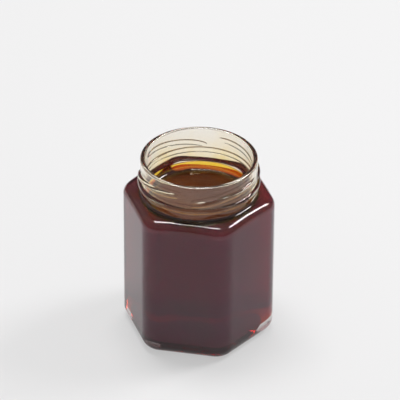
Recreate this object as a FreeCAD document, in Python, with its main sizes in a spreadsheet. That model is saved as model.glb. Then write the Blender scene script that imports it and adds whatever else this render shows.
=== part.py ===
"""Hexagonal honey jar, open, with honey up to the foot of its neck.

A moulded glass jar with six flat sides, rounded corners and a round neck that carries a lug finish:
four inclined threads above one plain bead. The honey is a solid of its own that wets the glass all
round and ends at its level surface. Millimetres, +Z up, origin in the middle of the resting face.
"""

import FreeCAD, Part
import Sketcher
import math
import os

# Alias in the sheet, value, meaning
DIMENSIONS = (
    ("across_flats", 64.8, "between two opposite sides"),
    ("corner_radius", 10.0, "radius of the six upright corners"),
    ("base_edge_radius", 6.0, "radius round the bottom edge"),
    ("shoulder_height", 73.3, "where side and shoulder would meet at the middle of a side"),
    ("shoulder_slope", 12.0, "degrees by which the shoulder rises towards the neck"),
    ("shoulder_radius", 4.2, "radius between sides and shoulder"),
    ("neck_height", 18.7, "from there up to the rim"),
    ("side_wall", 2.6, "glass in the sides"),
    ("shoulder_wall", 4.2, "glass in the shoulder, straight up"),
    ("base_wall", 5.6, "glass between resting face and honey"),
    ("inner_base_radius", 4.5, "radius round the bottom of the cavity"),
    ("inner_shoulder_radius", 3.0, "radius between sides and shoulder inside"),
    ("neck_radius", 27.4, "outside of the neck between its threads"),
    ("neck_wall", 2.4, "glass in the neck"),
    ("neck_foot_radius", 1.2, "cove between shoulder and neck outside"),
    ("flare_radius", 1.2, "rounding between bore and shoulder inside"),
    ("rim_radius", 1.1, "rounding of both edges of the rim"),
    ("mouth_overrun", 5.0, "how far the hollowing form runs past the rim"),
    ("bead_section", 1.6, "section radius of bead and threads"),
    ("bead_stand", 1.25, "how far bead and threads stand out of the neck"),
    ("bead_drop", 12.4, "rim to middle of the bead"),
    ("thread_count", 4, "threads round the neck"),
    ("thread_turn", 1.0, "angle at which the first thread starts"),
    ("thread_span", 82.0, "angle that one thread covers"),
    ("thread_drop", 9.6, "rim to the low end of a thread"),
    ("thread_rise", 4.1, "height that a thread gains over its span"),
    ("thread_sink", 0.35, "how far the ends of a thread lie under the neck's surface"),
    ("hollow_radius", 22.0, "round hollow in the underside, at its mouth"),
    ("hollow_slant", 4.0, "how much narrower the hollow is at its top"),
    ("hollow_depth", 1.2, "depth of the hollow"),
    ("honey_drop", 21.4, "rim to the surface of the honey"),
)

# A thread along its way: share of the span, share of the rise, share of the full stand
THREAD_STATIONS = (
    (0.00, 0.00, 0.0),
    (0.10, 0.14, 0.8),
    (0.28, 0.39, 1.0),
    (0.50, 0.66, 1.0),
    (0.72, 0.86, 1.0),
    (0.90, 0.96, 0.7),
    (1.00, 1.00, 0.0),
)

SIDES = 6
FULL_TURN = 360.0
TOLERANCE = 1e-4
# How far an edge may lie off the circle where two rounded surfaces cross
CROSSING_SLACK = 0.1
UP = FreeCAD.Vector(0, 0, 1)
# Sketcher's names for the origin, the two sketch axes and a point's place on its curve
AXES = -1
UPRIGHT = -2
START, END, CENTRE = 1, 2, 3

# Formulas that several features share
RIM = "(Dimensions.shoulder_height + Dimensions.neck_height)"
ABOVE_RIM = f"({RIM} + Dimensions.mouth_overrun)"
LEVEL = f"({RIM} - Dimensions.honey_drop)"
REACH = "Dimensions.across_flats"
FALL = "Dimensions.across_flats * tan(Dimensions.shoulder_slope * 1 deg)"
APEX = "(Dimensions.shoulder_height + Dimensions.across_flats / 2 * tan(Dimensions.shoulder_slope * 1 deg))"
OUTSIDE = {
    "flats": "Dimensions.across_flats",
    "corner": "Dimensions.corner_radius",
    "floor": "0",
    "apex": APEX,
    "neck": "Dimensions.neck_radius",
    "top": RIM,
    "foot": "Dimensions.neck_foot_radius",
    "shoulder": "Dimensions.shoulder_radius",
    "base": "Dimensions.base_edge_radius",
}
INSIDE = {
    "flats": "Dimensions.across_flats - 2 * Dimensions.side_wall",
    "corner": "Dimensions.corner_radius - Dimensions.side_wall",
    "floor": "Dimensions.base_wall",
    "apex": f"({APEX} - Dimensions.shoulder_wall)",
    "neck": "Dimensions.neck_radius - Dimensions.neck_wall",
    "top": ABOVE_RIM,
    "foot": "Dimensions.flare_radius",
    "shoulder": "Dimensions.inner_shoulder_radius",
    "base": "Dimensions.inner_base_radius",
}


def add_sheet(doc):
    """Write the driving dimensions, one row each."""
    sheet = doc.addObject("Spreadsheet::Sheet", "Dimensions")
    for row, (alias, value, meaning) in enumerate(DIMENSIONS, start=1):
        sheet.set(f"A{row}", alias)
        sheet.set(f"B{row}", str(value))
        sheet.set(f"C{row}", meaning)
        sheet.setAlias(f"B{row}", alias)
    doc.recompute()
    return sheet


def add_body(doc, name):
    """Start a body under its own label."""
    body = doc.addObject("PartDesign::Body", name)
    body.Label = name
    body.Placement = FreeCAD.Placement()
    return body


def origin_item(body, role):
    """Find one of the body's own origin planes or axes."""
    return next(item for item in body.Origin.OriginFeatures if item.Role == role)


def add_sketch(body, name, role):
    """Attach a new sketch to one of the body's own origin planes."""
    sketch = body.newObject("Sketcher::SketchObject", name)
    sketch.AttachmentSupport = [(origin_item(body, role), "")]
    sketch.MapMode = "FlatFace"
    return sketch


def dimension(sketch, kind, *references, formula, guess):
    """Add a measure to a sketch and bind it to the sheet."""
    index = sketch.addConstraint(Sketcher.Constraint(kind, *references, guess))
    sketch.setExpression(f"Constraints[{index}]", formula)


def add_disc_sketch(body, name, radius, height):
    """Circle about the upright axis, at a height above the resting plane."""
    sketch = add_sketch(body, name, "XY_Plane")
    sketch.setExpression("AttachmentOffset.Base.z", height)
    circle = sketch.addGeometry(Part.Circle(FreeCAD.Vector(), UP, 1.0), False)
    sketch.addConstraint(Sketcher.Constraint("Coincident", circle, CENTRE, AXES, START))
    dimension(sketch, "Radius", circle, formula=radius, guess=1.0)
    return sketch


def add_hexagon_sketch(body, name, flats, height, rough_flats):
    """Regular hexagon with two corners on the X axis, drawn roughly to size before it is bound."""
    sketch = add_sketch(body, name, "XY_Plane")
    sketch.setExpression("AttachmentOffset.Base.z", height)
    reach = rough_flats / math.sqrt(3)
    turns = [side * math.tau / SIDES for side in range(SIDES)]
    corners = [FreeCAD.Vector(reach * math.cos(turn), reach * math.sin(turn), 0) for turn in turns]
    for side in range(SIDES):
        sketch.addGeometry(Part.LineSegment(corners[side], corners[(side + 1) % SIDES]), False)
    ring = sketch.addGeometry(Part.Circle(FreeCAD.Vector(), UP, reach), True)
    sketch.addConstraint(Sketcher.Constraint("Coincident", ring, CENTRE, AXES, START))
    for side in range(SIDES):
        sketch.addConstraint(Sketcher.Constraint("Coincident", side, END, (side + 1) % SIDES, START))
        sketch.addConstraint(Sketcher.Constraint("PointOnObject", side, START, ring))
    for side in range(1, SIDES):
        sketch.addConstraint(Sketcher.Constraint("Equal", 0, side))
    back, front = 1, 4
    sketch.addConstraint(Sketcher.Constraint("Horizontal", front))
    dimension(sketch, "DistanceY", front, START, back, START, formula=flats, guess=rough_flats)
    return sketch


def add_profile_sketch(body, name, points):
    """Closed outline of straight lines beside the upright axis; a point without an across lies on it."""
    sketch = add_sketch(body, name, "XZ_Plane")
    rough = [FreeCAD.Vector(*guess, 0) for _, _, guess in points]
    for index, start in enumerate(rough):
        sketch.addGeometry(Part.LineSegment(start, rough[(index + 1) % len(rough)]), False)
    for index, (across, up, guess) in enumerate(points):
        after = (index + 1) % len(points)
        sketch.addConstraint(Sketcher.Constraint("Coincident", index, END, after, START))
        if across is None:
            sketch.addConstraint(Sketcher.Constraint("PointOnObject", index, START, UPRIGHT))
        else:
            dimension(sketch, "DistanceX", AXES, START, index, START, formula=across, guess=guess[0])
        dimension(sketch, "DistanceY", AXES, START, index, START, formula=up, guess=guess[1])
    return sketch


def add_section_sketch(body, name, across, up, turn="0"):
    """Circle of the bead's section, in an upright plane that is turned about the axis."""
    sketch = add_sketch(body, name, "XZ_Plane")
    about_axis = FreeCAD.Rotation(FreeCAD.Vector(0, 1, 0), 1.0)
    sketch.AttachmentOffset = FreeCAD.Placement(FreeCAD.Vector(), about_axis)
    sketch.setExpression("AttachmentOffset.Rotation.Angle", turn)
    circle = sketch.addGeometry(Part.Circle(FreeCAD.Vector(5.0, 5.0, 0), UP, 1.0), False)
    dimension(sketch, "Radius", circle, formula="Dimensions.bead_section", guess=1.0)
    dimension(sketch, "DistanceX", AXES, START, circle, CENTRE, formula=across, guess=5.0)
    dimension(sketch, "DistanceY", AXES, START, circle, CENTRE, formula=up, guess=5.0)
    return sketch


def add_pad(doc, body, name, sketch, length):
    """Pad of a sketch, straight up."""
    pad = body.newObject("PartDesign::Pad", name)
    pad.Profile = sketch
    pad.setExpression("Length", length)
    doc.recompute()
    return pad


def add_turned(doc, body, kind, name, sketch):
    """Revolution or groove of a sketch, all the way round the upright axis."""
    turned = body.newObject(f"PartDesign::{kind}", name)
    turned.Profile = sketch
    turned.ReferenceAxis = (sketch, ["V_Axis"])
    turned.Angle = FULL_TURN
    doc.recompute()
    return turned


def round_edges(doc, body, name, base, test, radius):
    """Fillet the edges of a feature that pass a test."""
    edges = [f"Edge{number}" for number, edge in enumerate(base.Shape.Edges, start=1) if test(edge)]
    fillet = body.newObject("PartDesign::Fillet", name)
    fillet.Base = (base, edges)
    fillet.setExpression("Radius", radius)
    doc.recompute()
    return fillet


def is_upright(edge):
    """Straight edge along Z."""
    box = edge.BoundBox
    return box.ZLength > TOLERANCE and math.hypot(box.XLength, box.YLength) < TOLERANCE


def is_level_at(edge, height):
    """Edge that lies at one height all along."""
    box = edge.BoundBox
    return abs(box.ZMin - height) < TOLERANCE and abs(box.ZMax - height) < TOLERANCE


def is_ring(edge, radius):
    """Level circle of one radius about the upright axis."""
    box = edge.BoundBox
    return box.ZLength < CROSSING_SLACK and abs(box.XLength / 2 - radius) < CROSSING_SLACK


def is_outside_of(edge, radius):
    """Edge whose ends both lie further from the upright axis than a radius."""
    return min(math.hypot(end.X, end.Y) for end in edge.Vertexes) > radius + CROSSING_SLACK


def add_form(doc, body, form, rough_flats, neck_radius):
    """Hexagonal prism with rounded corners and edges, a sloping shoulder and a round neck above it."""
    name = body.Name
    floor = form["floor"]
    hexagon = add_hexagon_sketch(body, f"{name}_hexagon", form["flats"], floor, rough_flats)
    prism = add_pad(doc, body, f"{name}_prism", hexagon, f"{RIM} - {floor}")
    round_edges(doc, body, f"{name}_corners", prism, is_upright, form["corner"])
    above_shoulder = (
        (None, form["apex"], (0.0, 5.0)),
        (REACH, f"{form['apex']} - {FALL}", (5.0, 4.0)),
        (REACH, ABOVE_RIM, (5.0, 6.0)),
        (None, ABOVE_RIM, (0.0, 6.0)),
    )
    cone = add_profile_sketch(body, f"{name}_above_shoulder", above_shoulder)
    add_turned(doc, body, "Groove", f"{name}_slope", cone)
    disc = add_disc_sketch(body, f"{name}_neck_disc", form["neck"], floor)
    neck = add_pad(doc, body, f"{name}_neck", disc, f"{form['top']} - {floor}")
    base, top = neck.Shape.BoundBox.ZMin, neck.Shape.BoundBox.ZMax
    shoulder = round_edges(
        doc, body, f"{name}_shoulder", neck,
        lambda edge: edge.BoundBox.ZMin > base + TOLERANCE and is_outside_of(edge, neck_radius),
        form["shoulder"],
    )
    foot = round_edges(
        doc, body, f"{name}_foot", shoulder,
        lambda edge: is_ring(edge, neck_radius) and edge.BoundBox.ZMax < top - TOLERANCE, form["foot"],
    )
    round_edges(
        doc, body, f"{name}_base_edge", foot,
        lambda edge: is_level_at(edge, base) and is_outside_of(edge, neck_radius), form["base"],
    )


def add_bead(doc, body):
    """Plain bead round the foot of the neck."""
    across = "Dimensions.neck_radius + Dimensions.bead_stand - Dimensions.bead_section"
    circle = add_section_sketch(body, "bead_circle", across, f"{RIM} - Dimensions.bead_drop")
    return add_turned(doc, body, "Revolution", "bead", circle)


def add_threads(doc, body):
    """Inclined threads that rise out of the neck and sink back into it, spaced evenly round it."""
    buried = "Dimensions.neck_radius - Dimensions.thread_sink - Dimensions.bead_section"
    circles = []
    for number, (span, rise, stand) in enumerate(THREAD_STATIONS, start=1):
        across = f"{buried} + {stand} * (Dimensions.bead_stand + Dimensions.thread_sink)"
        up = f"{RIM} - Dimensions.thread_drop + {rise} * Dimensions.thread_rise"
        turn = f"Dimensions.thread_turn + {span} * Dimensions.thread_span"
        circles.append(add_section_sketch(body, f"thread_circle_{number}", across, up, turn))
    thread = body.newObject("PartDesign::AdditiveLoft", "thread")
    thread.Profile = circles[0]
    thread.Sections = circles[1:]
    doc.recompute()
    threads = body.newObject("PartDesign::PolarPattern", "threads")
    threads.Originals = [thread]
    threads.Axis = (origin_item(body, "Z_Axis"), [""])
    threads.Angle = FULL_TURN
    threads.setExpression("Occurrences", "Dimensions.thread_count")
    body.Tip = threads
    doc.recompute()


def add_underside(doc, body):
    """Shallow round hollow in the middle of the resting face, with a slanting side."""
    narrowed = "Dimensions.hollow_radius - Dimensions.hollow_slant"
    outline = (
        (None, "0", (0.0, 0.0)),
        ("Dimensions.hollow_radius", "0", (5.0, 0.0)),
        (narrowed, "Dimensions.hollow_depth", (4.0, 1.0)),
        (None, "Dimensions.hollow_depth", (0.0, 1.0)),
    )
    profile = add_profile_sketch(body, "hollow_profile", outline)
    add_turned(doc, body, "Groove", "hollow", profile)


def add_inside(doc, sheet, body):
    """The room inside the glass: hexagonal, flared up into the round bore and past the rim."""
    add_form(doc, body, INSIDE, sheet.across_flats - 2 * sheet.side_wall, sheet.neck_radius - sheet.neck_wall)


def add_jar(doc, sheet):
    """The glass: outer form with bead, threads and underside, hollowed, its rim rounded."""
    body = add_body(doc, "jar")
    add_form(doc, body, OUTSIDE, sheet.across_flats, sheet.neck_radius)
    add_bead(doc, body)
    add_threads(doc, body)
    add_underside(doc, body)
    room = add_body(doc, "room")
    add_inside(doc, sheet, room)
    hollowed = body.newObject("PartDesign::Boolean", "hollowed")
    hollowed.setObjects([room])
    hollowed.Type = "Cut"
    doc.recompute()
    rim = sheet.shoulder_height + sheet.neck_height
    round_edges(
        doc, body, "rim", hollowed, lambda edge: is_level_at(edge, rim), "Dimensions.rim_radius",
    )
    return body


def add_honey(doc, sheet):
    """The honey: the room inside the glass, levelled off below the rim."""
    body = add_body(doc, "honey")
    add_inside(doc, sheet, body)
    full = body.Tip.Shape.Volume
    cover = add_disc_sketch(body, "level_disc", REACH, LEVEL)
    level = body.newObject("PartDesign::Pocket", "level")
    level.Profile = cover
    level.Reversed = True
    level.setExpression("Length", f"{ABOVE_RIM} + Dimensions.mouth_overrun - {LEVEL}")
    doc.recompute()
    if level.Shape.Volume >= full:
        raise RuntimeError("the level cuts nothing off the honey")
    return body


def check(doc, bodies):
    """Stop if any object failed or any sub-part isn't one sound solid."""
    failed = [item.Label for item in doc.Objects if {"Invalid", "Error"} & set(item.State)]
    if failed:
        raise RuntimeError(f"failed objects: {failed}")
    for body in bodies:
        shape = body.Shape
        if shape.isNull() or not shape.isValid() or len(shape.Solids) != 1:
            raise RuntimeError(f"{body.Label} is not one valid solid")


def main():
    doc = FreeCAD.newDocument("honey_jar")
    sheet = add_sheet(doc)
    bodies = [add_jar(doc, sheet), add_honey(doc, sheet)]
    doc.recompute()
    check(doc, bodies)
    os.makedirs("parts", exist_ok=True)
    for body in bodies:
        body.Shape.exportStep(f"parts/{body.Label}.step")
        box = body.Shape.BoundBox
        extent = f"{box.XLength:.2f} x {box.YLength:.2f} x {box.ZLength:.2f} mm"
        print(f"{body.Label}: {body.Shape.Volume / 1000:.1f} ml, {extent}")


main()
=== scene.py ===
"""Looks of an open hexagonal honey jar: clear moulded glass, dark amber honey and a pale studio.

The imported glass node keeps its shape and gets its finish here. The honey is a piece of its own that
wets the glass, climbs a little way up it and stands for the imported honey. Metres, +Z up.
"""

import math

import bmesh
import bpy
from bpy.props import FloatProperty, FloatVectorProperty, IntProperty, PointerProperty
from mathutils import Matrix, Vector
from mathutils.bvhtree import BVHTree


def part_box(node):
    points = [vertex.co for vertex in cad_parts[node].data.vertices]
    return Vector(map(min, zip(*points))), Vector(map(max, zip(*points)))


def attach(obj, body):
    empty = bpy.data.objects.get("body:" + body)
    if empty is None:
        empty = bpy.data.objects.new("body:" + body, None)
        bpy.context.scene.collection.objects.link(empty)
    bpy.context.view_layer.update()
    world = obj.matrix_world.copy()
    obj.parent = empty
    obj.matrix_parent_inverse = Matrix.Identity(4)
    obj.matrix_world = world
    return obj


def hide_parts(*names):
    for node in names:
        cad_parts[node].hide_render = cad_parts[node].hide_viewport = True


bl_info = {
    "name": "Honey jar",
    "version": (1, 0, 0),
    "blender": (4, 5, 0),
    "location": "3D View > Sidebar > Honey Jar",
    "description": "Finishes a hexagonal glass jar and fills it with dark honey",
    "category": "Object",
}

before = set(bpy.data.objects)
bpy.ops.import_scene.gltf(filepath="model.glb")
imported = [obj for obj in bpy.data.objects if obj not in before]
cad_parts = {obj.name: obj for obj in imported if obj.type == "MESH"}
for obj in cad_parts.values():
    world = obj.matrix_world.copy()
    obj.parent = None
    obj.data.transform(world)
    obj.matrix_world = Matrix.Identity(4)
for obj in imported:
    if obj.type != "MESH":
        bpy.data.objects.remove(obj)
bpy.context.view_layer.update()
GLASS_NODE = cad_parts["jar"]
HONEY_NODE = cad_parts["honey"]
MM = 0.001
SIDES = 6
# Vertices closer than this are the same corner of neighbouring triangles
SAME_PLACE = 1e-6
# Refractive index of a surface between glass and honey, which bend light alike
NO_BEND = 1.002
# The honey's faces that the air reaches carry 1 here, and the rest 0
OPEN = "open_surface"

# The wetted glass: its outline's place in the wall, which has to stay inside the outer corners, and
# how far it is taken into the base and over the surface
WALL_SHARE = 0.2
INTO_BASE = 1.0 * MM
OVER_SURFACE = 0.3 * MM

# The film of honey on the glass: its share at the rim, its streaks' size and the noise they span,
# and its share between the streaks
FILM_AT_RIM = 0.22
STREAK_SIZE = 12 * MM
STREAK_SPAN = (0.38, 0.66)
BETWEEN_STREAKS = 0.5
# Where the painted dark red shade and reflection of the honey round the foot start and end to fade, in
# thicknesses of the base
PAINTED_FOOT_SHADE_FADE = (0.9, 1.6)
# Patches touched by hands, and moulding waves
TOUCH_SIZE = 12 * MM
TOUCH_SPAN = (0.55, 0.75)
WAVE_SIZE = 16 * MM

# Heights under the surface between which a painted sheen comes in under the shoulder: the honey is painted
# lighter and browner there
SHOULDER_SHEEN_DEPTHS = (5 * MM, 2 * MM)
# The same for the thin edge, and the radii between which it comes and goes
THIN_DEPTHS = (3 * MM, 1 * MM)
THIN_STARTS = (20.5 * MM, 23.5 * MM)
THIN_ENDS = (26.5 * MM, 28.0 * MM)
# How much more haze is painted under the shoulder as a painted sheen, and how far its colour goes towards
# the surface's
SHOULDER_SHEEN_HAZE = 1.8
SHOULDER_SHEEN_COLOUR = 0.5
# Slow swirls in the honey: size, the noise they span, and how they change colours and roughness
SWIRL_SIZE = 18 * MM
SWIRL_SPAN = (0.4, 0.65)
SWIRL_PALER = 0.12
SWIRL_DARKER = 0.9
SWIRL_BLUR = (0.85, 1.15)
SURFACE_BLUR = 0.02
RIPPLE_SIZE = 12 * MM
RIPPLE_DEPTH = 0.04 * MM
# Rings of the honey against the glass, the width of the curved rim in lengths of creep, and how
# much closer its rings lie near the glass
CLIMB_RINGS = 8
RIM_WIDTH = 6.0
RIM_CROWDING = 1.5

# The paper: size of its tone's blobs, the noise they span, how dark they get, and its matt finish
PAPER_TONE_SIZE = 0.35
PAPER_TONE_SPAN = (0.3, 0.7)
PAPER_DARKER = 0.985
PAPER_ROUGHNESS = 0.75
PAPER_SHINE = 0.1
# Soft boxes: name, way to them, way of their long side, length and width
TOP_BOX = ("top", (-0.157, 0.20, 0.96), (1.0, 0.0, 0.0), (0.8, 0.5))
KEY_BOX = ("key", (0.58, 0.39, 0.71), (-0.08, -0.37, 0.27), (0.6, 0.4))
# How high up the room reaches its full brightness, and between which ways back it gets dark
FULL_HEIGHT = 0.5
BEHIND = (0.35, 0.75)


class GlassSettings(bpy.types.PropertyGroup):
    tint: FloatVectorProperty(
        name="Tint", description="Colour that light keeps as it crosses a clean glass surface",
        default=(0.985, 0.970, 0.935), subtype="COLOR", size=3, min=0.0, max=1.0)
    film_tint: FloatVectorProperty(
        name="Film tint", description="The same where a film of honey is left on the glass",
        default=(0.98, 0.74, 0.22), subtype="COLOR", size=3, min=0.0, max=1.0)
    # Painted shade and reflection of the honey: the glass is tinted dark red round the foot
    painted_foot_shade_tint: FloatVectorProperty(
        name="Foot tint", description="The same round the foot, where the honey shows in the glass",
        default=(0.34, 0.13, 0.13), subtype="COLOR", size=3, min=0.0, max=1.0)
    refraction: FloatProperty(
        name="Refraction", description="Refractive index of soda-lime glass",
        default=1.5, min=1.0, max=2.0)
    polish: FloatProperty(
        name="Polish", description="Roughness of the cleanest glass",
        default=0.0, min=0.0, max=1.0, subtype="FACTOR")
    handling: FloatProperty(
        name="Handling", description="Roughness where fingers have touched the glass",
        default=0.035, min=0.0, max=1.0, subtype="FACTOR")
    grease: FloatProperty(
        name="Grease", description="Share of the outside that shines with a second, greasy layer",
        default=0.15, min=0.0, max=1.0, subtype="FACTOR")
    wave: FloatProperty(
        name="Wave", description="Depth of the slow waves left by moulding",
        default=0.00005, min=0.0, max=0.001, unit="LENGTH")


class HoneySettings(bpy.types.PropertyGroup):
    kept: FloatVectorProperty(
        name="Kept colour", description="Colour that light keeps as it goes through honey",
        default=(0.953, 0.900, 0.10), subtype="COLOR", size=3, min=0.0, max=1.0)
    haze: FloatProperty(
        name="Haze", description="Share of the light that fine grains in the honey throw back",
        default=0.092, min=0.0, max=1.0, subtype="FACTOR")
    wall_haze: FloatVectorProperty(
        name="Wall haze", description="Colour of the honey's haze seen through the glass",
        default=(1.0, 0.125, 0.44), subtype="COLOR", size=3, min=0.0, max=1.0)
    surface_haze: FloatVectorProperty(
        name="Surface haze", description="Colour of the honey's haze seen from above",
        default=(0.36, 0.085, 0.01), subtype="COLOR", size=3, min=0.0, max=1.0)
    thin_tint: FloatVectorProperty(
        name="Thin tint", description="Tint of the thin honey along its edge",
        default=(0.97, 0.73, 0.15), subtype="COLOR", size=3, min=0.0, max=1.0)
    wall_blur: FloatProperty(
        name="Wall blur", description="Roughness of the honey where it lies against the glass",
        default=0.16, min=0.0, max=1.0, subtype="FACTOR")
    strength: FloatProperty(
        name="Strength", description="How fast the honey takes up the other colours, per metre",
        default=1150.0, min=0.0)
    refraction: FloatProperty(
        name="Refraction", description="Refractive index of honey",
        default=1.49, min=1.0, max=2.0)
    reach: FloatProperty(
        name="Reach", description="How far the honey reaches into the wall of the glass",
        default=0.00012, min=0.0, max=0.001, unit="LENGTH")
    climb: FloatProperty(
        name="Climb", description="How far the honey creeps up the glass above its surface",
        default=0.0034, min=0.0, max=0.005, unit="LENGTH")
    creep: FloatProperty(
        name="Creep", description="How far from the glass the surface starts to rise",
        default=0.0010, min=0.0001, max=0.01, unit="LENGTH")
    dip: FloatProperty(
        name="Dip", description="How far the middle of the surface lies under its edge",
        default=0.0005, min=0.0, max=0.005, unit="LENGTH")
    rings: IntProperty(
        name="Rings", description="Rings of faces in the curved rim of the surface",
        default=14, min=4, max=60)


class StageSettings(bpy.types.PropertyGroup):
    azimuth: FloatProperty(
        name="Azimuth", description="Camera's turn round the jar, from straight in front",
        default=math.radians(10.9), subtype="ANGLE")
    elevation: FloatProperty(
        name="Elevation", description="Camera's height above the level of the jar's middle",
        default=math.radians(33.7), subtype="ANGLE")
    roll: FloatProperty(
        name="Roll", description="Camera's tilt to one side",
        default=math.radians(0.38), subtype="ANGLE")
    distance: FloatProperty(
        name="Distance", description="Camera to the middle of the jar",
        default=1.6, min=0.1, unit="LENGTH")
    middle: FloatProperty(
        name="Middle", description="Height of the point that the camera goes round",
        default=0.045, unit="LENGTH")
    aim_height: FloatProperty(
        name="Aim height", description="Height of the point on the jar's axis that is looked at",
        default=0.0682, unit="LENGTH")
    aim_right: FloatProperty(
        name="Aim right", description="How far to the right of the axis the camera looks",
        default=0.00054, unit="LENGTH")
    lens: FloatProperty(
        name="Lens", description="Focal length on a 36 mm wide sensor",
        default=305.6, min=10.0)
    floor_colour: FloatVectorProperty(
        name="Floor colour", description="Colour of the paper sweep",
        default=(0.240, 0.240, 0.240), subtype="COLOR", size=3, min=0.0, max=1.0)
    floor_glow: FloatProperty(
        name="Floor glow", description="Light that comes through the table from below",
        default=0.465, min=0.0)
    floor_side: FloatProperty(
        name="Floor side", description="Side of the square floor",
        default=6.0, min=1.0, unit="LENGTH")
    sky: FloatProperty(
        name="Sky", description="Brightness of the white room overhead",
        default=0.60, min=0.0)
    horizon: FloatProperty(
        name="Horizon", description="Brightness of the room near the floor",
        default=0.25, min=0.0)
    backdrop: FloatProperty(
        name="Backdrop", description="Share of the room's brightness behind the jar",
        default=0.36, min=0.0)
    light_distance: FloatProperty(
        name="Light distance", description="Soft boxes to the middle of the jar",
        default=1.5, min=0.1, unit="LENGTH")
    light_colour: FloatVectorProperty(
        name="Light colour", description="Colour of the soft boxes",
        default=(1.0, 0.99, 1.0), subtype="COLOR", size=3, min=0.0, max=1.0)
    top: FloatProperty(
        name="Top light", description="Power of the long soft box overhead",
        default=21.0, min=0.0, subtype="POWER")
    key: FloatProperty(
        name="Key light", description="Power of the long soft box behind on the right",
        default=16.0, min=0.0, subtype="POWER")


def settings():
    """The jar's settings, kept on the scene."""
    return bpy.context.scene.honey_jar


# ---------------------------------------------------------------- nodes

def new_material(name):
    """An empty node material with its output and one Principled shader."""
    material = bpy.data.materials.new(name)
    material.use_nodes = True
    tree = material.node_tree
    tree.nodes.clear()
    output = tree.nodes.new("ShaderNodeOutputMaterial")
    shader = tree.nodes.new("ShaderNodeBsdfPrincipled")
    tree.links.new(shader.outputs["BSDF"], output.inputs["Surface"])
    return material, tree, shader, output


def object_coordinates(tree, scale=(1.0, 1.0, 1.0)):
    """Object coordinates, stretched by scale."""
    place = tree.nodes.new("ShaderNodeTexCoord")
    mapping = tree.nodes.new("ShaderNodeMapping")
    mapping.inputs["Scale"].default_value = scale
    tree.links.new(place.outputs["Object"], mapping.inputs["Vector"])
    return mapping.outputs["Vector"]


def noise(tree, vector, size, detail=2.0, roughness=0.5, distortion=0.0):
    """Soft noise whose blobs are about size metres across."""
    node = tree.nodes.new("ShaderNodeTexNoise")
    node.inputs["Scale"].default_value = 1.0 / size
    node.inputs["Detail"].default_value = detail
    node.inputs["Roughness"].default_value = roughness
    node.inputs["Distortion"].default_value = distortion
    tree.links.new(vector, node.inputs["Vector"])
    return node.outputs["Fac"]


def spread(tree, source, low, high, to_low, to_high):
    """Map source from low..high to to_low..to_high, smoothly and held at both ends."""
    node = tree.nodes.new("ShaderNodeMapRange")
    node.interpolation_type = "SMOOTHSTEP"
    node.inputs["From Min"].default_value = low
    node.inputs["From Max"].default_value = high
    node.inputs["To Min"].default_value = to_low
    node.inputs["To Max"].default_value = to_high
    tree.links.new(source, node.inputs["Value"])
    return node.outputs["Result"]


def blend_colours(tree, factor, first, second):
    """Mix two colours by a factor."""
    node = tree.nodes.new("ShaderNodeMix")
    node.data_type = "RGBA"
    node.inputs["A"].default_value = (*first, 1.0)
    node.inputs["B"].default_value = (*second, 1.0)
    tree.links.new(factor, node.inputs["Factor"])
    return node.outputs["Result"]


def mix_sockets(tree, factor, first, second):
    """Mix the colours that two sockets give."""
    node = tree.nodes.new("ShaderNodeMix")
    node.data_type = "RGBA"
    tree.links.new(factor, node.inputs["Factor"])
    tree.links.new(first, node.inputs["A"])
    tree.links.new(second, node.inputs["B"])
    return node.outputs["Result"]


def calculate(tree, operation, first, second=None):
    """One step of arithmetic; each side is a socket or a number."""
    node = tree.nodes.new("ShaderNodeMath")
    node.operation = operation
    for socket, value in zip(node.inputs, (first, second)):
        if isinstance(value, bpy.types.NodeSocket):
            tree.links.new(value, socket)
        elif value is not None:
            socket.default_value = value
    return node.outputs["Value"]


def parts_of(tree, place):
    """The node that gives X, Y and Z of a place."""
    split = tree.nodes.new("ShaderNodeSeparateXYZ")
    tree.links.new(place, split.inputs["Vector"])
    return split


def plain_colour(tree, colour):
    """One colour as a socket."""
    node = tree.nodes.new("ShaderNodeRGB")
    node.outputs["Color"].default_value = (*colour, 1.0)
    return node.outputs["Color"]


def distance_from_axis(tree, split):
    """Distance from the jar's upright axis, from the parts of a place."""
    along, across = split.outputs["X"], split.outputs["Y"]
    squares = calculate(
        tree, "ADD", calculate(tree, "MULTIPLY", along, along), calculate(tree, "MULTIPLY", across, across))
    return calculate(tree, "SQRT", squares)


def bump(tree, shader, height, depth, lower=None):
    """Let height, from 0 to 1, raise the surface by up to depth metres."""
    node = tree.nodes.new("ShaderNodeBump")
    node.inputs["Distance"].default_value = depth
    tree.links.new(height, node.inputs["Height"])
    if lower is not None:
        tree.links.new(lower, node.inputs["Normal"])
    tree.links.new(node.outputs["Normal"], shader.inputs["Normal"])
    return node.outputs["Normal"]


# ---------------------------------------------------------------- glass

def glass_shape():
    """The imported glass, ready to be measured with rays."""
    mesh = GLASS_NODE.data
    return BVHTree.FromPolygons([v.co for v in mesh.vertices], [p.vertices[:] for p in mesh.polygons])


def bore_radius(shape, height):
    """Radius of the glass's inside at a height, found by looking out from the axis."""
    hit = shape.ray_cast(Vector((0.0, 0.0, height)), Vector((1.0, 0.0, 0.0)))
    if hit[0] is None:
        raise RuntimeError(f"no glass beside the honey at height {height:.4f}")
    return hit[0].x


def cavity_width():
    """Half the width of the cavity between two opposite sides, from the honey that fills it."""
    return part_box("honey")[1].y


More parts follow.
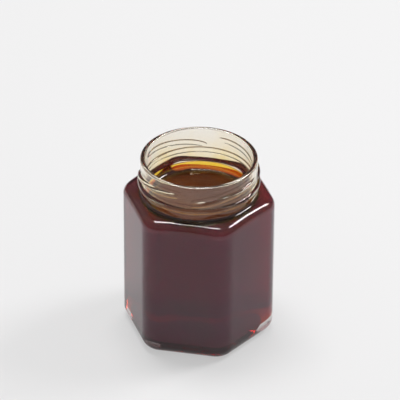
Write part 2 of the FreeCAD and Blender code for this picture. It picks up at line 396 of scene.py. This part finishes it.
def wetted(tree):
    """1 on the inside of the glass under the honey and 0 on the rest.

    Light goes straight on where honey wets the glass. The wetted part lies above the base and within
    a six-sided outline that runs inside the wall; where the honey has crept up the bore, it lies
    within the bore.
    """
    place = object_coordinates(tree)
    widest = None
    for side in range(SIDES // 2):
        turn = math.radians(180.0 / (SIDES // 2) * side + 90.0)
        node = tree.nodes.new("ShaderNodeVectorMath")
        node.operation = "DOT_PRODUCT"
        node.inputs[1].default_value = (math.cos(turn), math.sin(turn), 0.0)
        tree.links.new(place, node.inputs[0])
        reach = calculate(tree, "ABSOLUTE", node.outputs["Value"])
        widest = reach if widest is None else calculate(tree, "MAXIMUM", widest, reach)
    inner = cavity_width()
    in_wall = inner + WALL_SHARE * (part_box("jar")[1].y - inner)
    low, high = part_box("honey")
    split = parts_of(tree, place)
    inside = calculate(tree, "LESS_THAN", widest, in_wall)
    above = calculate(tree, "GREATER_THAN", split.outputs["Z"], low.z - INTO_BASE)
    below = calculate(tree, "LESS_THAN", split.outputs["Z"], high.z + OVER_SURFACE)
    room = calculate(tree, "MULTIPLY", inside, below)
    honey = settings().honey
    contact = high.z + honey.climb
    bore = bore_radius(glass_shape(), contact) + honey.reach
    in_bore = calculate(tree, "LESS_THAN", distance_from_axis(tree, split), bore)
    under_contact = calculate(tree, "LESS_THAN", split.outputs["Z"], contact)
    crept = calculate(tree, "MULTIPLY", in_bore, under_contact)
    return calculate(tree, "MULTIPLY", above, calculate(tree, "MAXIMUM", room, crept))


def honey_film(tree, place):
    """How much honey is left on the glass above the honey, in streaks that fade towards the rim."""
    level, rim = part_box("honey")[1].z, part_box("jar")[1].z
    split = parts_of(tree, place)
    fade = spread(tree, split.outputs["Z"], level, rim, 1.0, FILM_AT_RIM)
    above = spread(tree, split.outputs["Z"], level - MM, level + MM, 0.0, 1.0)
    streaks = noise(tree, object_coordinates(tree, (1.0, 1.0, 0.5)), STREAK_SIZE, 4.0, 0.55, 0.4)
    patches = spread(tree, streaks, *STREAK_SPAN, BETWEEN_STREAKS, 1.0)
    return calculate(tree, "MULTIPLY", above, calculate(tree, "MULTIPLY", fade, patches))


def painted_foot_shade_share(tree, place):
    """1 round the foot of the glass, where shade and the honey's reflection are painted dark red into the
    thick base, and 0 above it.
    """
    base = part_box("honey")[0].z
    split = parts_of(tree, place)
    low, high = (base * share for share in PAINTED_FOOT_SHADE_FADE)
    return spread(tree, split.outputs["Z"], low, high, 1.0, 0.0)


def glass_material():
    """Clear moulded glass: a trace of honey above the honey, painted shade and reflection of the honey
    round the foot, handled patches and slow waves.
    """
    s = settings().glass
    material, tree, shader, _ = new_material("jar_glass")
    place = object_coordinates(tree)
    wet = wetted(tree)
    shader.inputs["Transmission Weight"].default_value = 1.0
    tree.links.new(spread(tree, wet, 0.0, 1.0, s.refraction, NO_BEND), shader.inputs["IOR"])
    # The foot of the glass gets a painted dark red shade and reflection of the honey
    clean = blend_colours(tree, painted_foot_shade_share(tree, place), s.tint, s.painted_foot_shade_tint)
    stained = plain_colour(tree, s.film_tint)
    colour = mix_sockets(tree, honey_film(tree, place), clean, stained)
    tree.links.new(colour, shader.inputs["Base Color"])
    touched = noise(tree, place, TOUCH_SIZE, 5.0, 0.6)
    blur = spread(tree, touched, *TOUCH_SPAN, s.polish, s.handling)
    tree.links.new(blur, shader.inputs["Roughness"])
    tree.links.new(spread(tree, wet, 0.0, 1.0, s.grease, 0.0), shader.inputs["Coat Weight"])
    waves = noise(tree, object_coordinates(tree, (1.0, 1.0, 0.6)), WAVE_SIZE, 1.0, 0.3)
    bump(tree, shader, waves, s.wave)
    return material


# ---------------------------------------------------------------- honey

def painted_shoulder_sheen(tree, place):
    """1 at the top of the honey, under the shoulder of the glass, where a painted sheen lightens it, and 0
    further down.
    """
    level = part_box("honey")[1].z
    split = parts_of(tree, place)
    low, high = (level - depth for depth in SHOULDER_SHEEN_DEPTHS)
    return spread(tree, split.outputs["Z"], low, high, 0.0, 1.0)


def thin_edge(tree, place):
    """1 where the honey thins out against the glass at its surface, and 0 further in and below."""
    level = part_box("honey")[1].z
    split = parts_of(tree, place)
    across = distance_from_axis(tree, split)
    low, high = (level - depth for depth in THIN_DEPTHS)
    upper = spread(tree, split.outputs["Z"], low, high, 0.0, 1.0)
    outer = spread(tree, across, *THIN_STARTS, 0.0, 1.0)
    inner = spread(tree, across, *THIN_ENDS, 1.0, 0.0)
    return calculate(tree, "MULTIPLY", upper, calculate(tree, "MULTIPLY", outer, inner))


def honey_material():
    """Dark clear honey with a faint haze, painted lighter and browner under the shoulder as a painted
    sheen; its open surface is smooth and shines.

    Light goes straight on where it lies against glass. The piece says where it is open, in OPEN.
    """
    s = settings().honey
    material, tree, shader, output = new_material("dark_honey")
    place = object_coordinates(tree)
    mark = tree.nodes.new("ShaderNodeAttribute")
    mark.attribute_name = OPEN
    free = mark.outputs["Fac"]
    thin = thin_edge(tree, place)
    # A painted sheen under the shoulder: more haze there makes the honey lighter
    top = painted_shoulder_sheen(tree, place)
    grains = spread(tree, top, 0.0, 1.0, s.haze, s.haze * SHOULDER_SHEEN_HAZE)
    cloud = calculate(tree, "MULTIPLY", grains, calculate(tree, "SUBTRACT", 1.0, thin))
    tree.links.new(calculate(tree, "SUBTRACT", 1.0, cloud), shader.inputs["Transmission Weight"])
    tree.links.new(spread(tree, free, 0.0, 1.0, NO_BEND, s.refraction), shader.inputs["IOR"])
    swirl = spread(tree, noise(tree, place, SWIRL_SIZE, 3.0, 0.5, 0.6), *SWIRL_SPAN, 0.0, 1.0)
    paler_wall = tuple(c + (1.0 - c) * SWIRL_PALER for c in s.wall_haze)
    darker_surface = tuple(c * SWIRL_DARKER for c in s.surface_haze)
    wall = blend_colours(tree, swirl, s.wall_haze, paler_wall)
    surface = blend_colours(tree, swirl, s.surface_haze, darker_surface)
    # The painted sheen under the shoulder also takes the colour halfway to the surface's
    sheen_under_shoulder = calculate(tree, "MULTIPLY", top, SHOULDER_SHEEN_COLOUR)
    thick = mix_sockets(tree, calculate(tree, "MAXIMUM", free, sheen_under_shoulder), wall, surface)
    colour = mix_sockets(tree, thin, thick, plain_colour(tree, s.thin_tint))
    tree.links.new(colour, shader.inputs["Base Color"])
    blur = calculate(tree, "MULTIPLY", spread(tree, swirl, 0.0, 1.0, *SWIRL_BLUR), s.wall_blur)
    calm = spread(tree, swirl, 0.0, 1.0, 0.0, SURFACE_BLUR)
    rough = tree.nodes.new("ShaderNodeMix")
    tree.links.new(free, rough.inputs["Factor"])
    tree.links.new(blur, rough.inputs["A"])
    tree.links.new(calm, rough.inputs["B"])
    tree.links.new(rough.outputs["Result"], shader.inputs["Roughness"])
    bump(tree, shader, noise(tree, place, RIPPLE_SIZE, 1.0, 0.3), RIPPLE_DEPTH)
    volume = tree.nodes.new("ShaderNodeVolumeAbsorption")
    volume.inputs["Color"].default_value = (*s.kept, 1.0)
    volume.inputs["Density"].default_value = s.strength
    tree.links.new(volume.outputs["Volume"], output.inputs["Volume"])
    return material


def surface_profile(s, level):
    """Radius, height and whether air reaches it, of each ring from the honey's edge to near its middle.

    The rings first follow the glass upwards, a little way inside it, and then run inwards and down
    on a curve that flattens out.
    """
    glass = glass_shape()
    profile = []
    for step in range(1, CLIMB_RINGS + 1):
        height = level + s.climb * step / CLIMB_RINGS
        profile.append((bore_radius(glass, height) + s.reach, height, False))
    contact, top, _ = profile[-1]
    for ring in range(1, s.rings + 1):
        inward = RIM_WIDTH * s.creep * (ring / s.rings) ** RIM_CROWDING
        fall = 1.0 - math.exp(-inward / s.creep)
        profile.append((contact - inward, top - (s.climb + s.dip) * fall, True))
    return profile


def build_honey():
    """The honey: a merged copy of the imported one, swollen into the glass, with a curved surface."""
    s = settings().honey
    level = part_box("honey")[1].z
    shape = bmesh.new()
    shape.from_mesh(HONEY_NODE.data)
    bmesh.ops.remove_doubles(shape, verts=shape.verts, dist=SAME_PLACE)
    lid = [f for f in shape.faces if all(level - v.co.z < SAME_PLACE for v in f.verts)]
    bmesh.ops.delete(shape, geom=lid, context="FACES")
    shape.normal_update()
    for vert in shape.verts:
        vert.co += vert.normal * s.reach
    rim = [e for e in shape.edges if e.is_boundary]
    for vert in {v for e in rim for v in e.verts}:
        vert.co.z = level
    mark = shape.faces.layers.float.new(OPEN)
    start = rim[0].verts[0].co.copy()
    radius, height = math.hypot(start.x, start.y), level
    for next_radius, next_height, is_open in surface_profile(s, level):
        before = set(shape.faces)
        grown = bmesh.ops.extrude_edge_only(shape, edges=rim)
        ring = [g for g in grown["geom"] if isinstance(g, bmesh.types.BMVert)]
        rim = [g for g in grown["geom"] if isinstance(g, bmesh.types.BMEdge)]
        ratio = next_radius / radius
        bmesh.ops.scale(shape, vec=(ratio, ratio, 1.0), verts=ring)
        bmesh.ops.translate(shape, vec=(0.0, 0.0, next_height - height), verts=ring)
        radius, height = next_radius, next_height
        for face in set(shape.faces) - before:
            face[mark] = float(is_open)
    for face in bmesh.ops.holes_fill(shape, edges=rim, sides=0)["faces"]:
        face[mark] = 1.0
    bmesh.ops.recalc_face_normals(shape, faces=shape.faces)
    for face in shape.faces:
        face.smooth = True
    mesh = bpy.data.meshes.new("honey_fill")
    shape.to_mesh(mesh)
    shape.free()
    mesh.materials.append(honey_material())
    piece = bpy.data.objects.new("honey_fill", mesh)
    bpy.context.scene.collection.objects.link(piece)
    even = piece.modifiers.new("even_normals", "WEIGHTED_NORMAL")
    even.weight = 50
    even.keep_sharp = True
    return piece


# ---------------------------------------------------------------- stage

def floor_material():
    """Pale matt paper with a faint change of tone, lit from below as well."""
    s = settings().stage
    material, tree, shader, _ = new_material("paper_sweep")
    place = object_coordinates(tree)
    tone = spread(tree, noise(tree, place, PAPER_TONE_SIZE, 2.0), *PAPER_TONE_SPAN, 0.0, 1.0)
    darker = tuple(c * PAPER_DARKER for c in s.floor_colour)
    tree.links.new(blend_colours(tree, tone, s.floor_colour, darker), shader.inputs["Base Color"])
    shader.inputs["Roughness"].default_value = PAPER_ROUGHNESS
    shader.inputs["Specular IOR Level"].default_value = PAPER_SHINE
    shader.inputs["Emission Color"].default_value = (1.0, 1.0, 1.0, 1.0)
    shader.inputs["Emission Strength"].default_value = s.floor_glow
    return material


def build_floor():
    """A wide square of paper under the jar."""
    s = settings().stage
    shape = bmesh.new()
    bmesh.ops.create_grid(shape, x_segments=2, y_segments=2, size=s.floor_side / 2)
    mesh = bpy.data.meshes.new("floor")
    shape.to_mesh(mesh)
    shape.free()
    mesh.materials.append(floor_material())
    floor = bpy.data.objects.new("floor", mesh)
    bpy.context.scene.collection.objects.link(floor)


def build_world():
    """A white room that is darker near the floor than overhead, and darkest behind the jar."""
    s = settings().stage
    world = bpy.data.worlds.new("studio")
    bpy.context.scene.world = world
    world.use_nodes = True
    tree = world.node_tree
    tree.nodes.clear()
    output = tree.nodes.new("ShaderNodeOutputWorld")
    light = tree.nodes.new("ShaderNodeBackground")
    tree.links.new(light.outputs["Background"], output.inputs["Surface"])
    place = tree.nodes.new("ShaderNodeTexCoord")
    split = tree.nodes.new("ShaderNodeSeparateXYZ")
    tree.links.new(place.outputs["Generated"], split.inputs["Vector"])
    height = spread(tree, split.outputs["Z"], 0.0, FULL_HEIGHT, s.horizon, s.sky)
    behind = spread(tree, split.outputs["Y"], *BEHIND, 1.0, s.backdrop)
    tree.links.new(calculate(tree, "MULTIPLY", height, behind), light.inputs["Strength"])


def axes_matrix(across, up, back, place):
    """The placing of a lamp or camera from its three axes and its place."""
    turn = Matrix((across, up, back)).transposed().to_4x4()
    return Matrix.Translation(place) @ turn


def add_soft_box(name, towards, along, size, power):
    """An oblong area light that points at the jar's middle, its long side as along says."""
    s = settings().stage
    data = bpy.data.lights.new(name, "AREA")
    data.shape = "RECTANGLE"
    data.size, data.size_y = size
    data.energy = power
    data.color = s.light_colour
    light = bpy.data.objects.new(name, data)
    bpy.context.scene.collection.objects.link(light)
    back = Vector(towards).normalized()
    across = Vector(along) - back * back.dot(Vector(along))
    across.normalize()
    up = back.cross(across)
    place = Vector((0.0, 0.0, s.middle)) + back * s.light_distance
    light.matrix_world = axes_matrix(across, up, back, place)


def add_camera():
    """The camera: level with its roll, on a long lens."""
    s = settings().stage
    around = Vector((
        math.sin(s.azimuth) * math.cos(s.elevation),
        -math.cos(s.azimuth) * math.cos(s.elevation),
        math.sin(s.elevation)))
    right = Vector((math.cos(s.azimuth), math.sin(s.azimuth), 0.0))
    place = Vector((0.0, 0.0, s.middle)) + around * s.distance
    aim = Vector((0.0, 0.0, s.aim_height)) + right * s.aim_right
    back = (place - aim).normalized()
    level = Vector((0.0, 0.0, 1.0)).cross(back).normalized()
    turned = Matrix.Rotation(s.roll, 3, back)
    across = turned @ level
    up = back.cross(across)
    data = bpy.data.cameras.new("camera")
    data.sensor_width = 36.0
    data.lens = s.lens
    data.clip_end = 50.0
    camera = bpy.data.objects.new("camera", data)
    bpy.context.scene.collection.objects.link(camera)
    camera.matrix_world = axes_matrix(across, up, back, place)
    bpy.context.scene.camera = camera


# ---------------------------------------------------------------- operators

class JAR_OT_glass(bpy.types.Operator):
    """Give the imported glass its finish"""

    bl_idname = "honey_jar.glass"
    bl_label = "Finish Glass"

    def execute(self, context):
        material = glass_material()
        for slot in GLASS_NODE.material_slots:
            slot.material = material
        return {"FINISHED"}


class JAR_OT_honey(bpy.types.Operator):
    """Fill the jar with honey"""

    bl_idname = "honey_jar.honey"
    bl_label = "Add Honey"

    def execute(self, context):
        piece = build_honey()
        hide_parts("honey")
        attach(piece, "root")
        return {"FINISHED"}


class JAR_OT_stage(bpy.types.Operator):
    """Set up floor, room, lights and camera"""

    bl_idname = "honey_jar.stage"
    bl_label = "Set Up Stage"

    def execute(self, context):
        s = settings().stage
        build_floor()
        build_world()
        add_soft_box(*TOP_BOX, s.top)
        add_soft_box(*KEY_BOX, s.key)
        add_camera()
        scene = context.scene
        scene.view_settings.view_transform = "Standard"
        scene.cycles.sample_clamp_indirect = 4.0
        scene.cycles.max_bounces = 32
        scene.cycles.transmission_bounces = 28
        scene.cycles.glossy_bounces = 12
        scene.cycles.transparent_max_bounces = 16
        return {"FINISHED"}


class JAR_PT_panel(bpy.types.Panel):
    """Sizes, colours and steps of the honey jar"""

    bl_idname = "JAR_PT_panel"
    bl_label = "Honey Jar"
    bl_space_type = "VIEW_3D"
    bl_region_type = "UI"
    bl_category = "Honey Jar"

    def draw(self, context):
        layout = self.layout
        for group, operator in (("glass", JAR_OT_glass), ("honey", JAR_OT_honey), ("stage", JAR_OT_stage)):
            box = layout.box()
            box.operator(operator.bl_idname)
            values = getattr(settings(), group)
            for name in values.__annotations__:
                box.prop(values, name)


class JarSettings(bpy.types.PropertyGroup):
    glass: PointerProperty(type=GlassSettings)
    honey: PointerProperty(type=HoneySettings)
    stage: PointerProperty(type=StageSettings)


CLASSES = (
    GlassSettings, HoneySettings, StageSettings, JarSettings,
    JAR_OT_glass, JAR_OT_honey, JAR_OT_stage, JAR_PT_panel,
)


def register():
    for cls in CLASSES:
        bpy.utils.register_class(cls)
    bpy.types.Scene.honey_jar = PointerProperty(type=JarSettings)


def unregister():
    del bpy.types.Scene.honey_jar
    for cls in reversed(CLASSES):
        bpy.utils.unregister_class(cls)


def main():
    register()
    bpy.ops.honey_jar.stage()
    bpy.ops.honey_jar.glass()
    bpy.ops.honey_jar.honey()


if __name__ == "__main__":
    main()
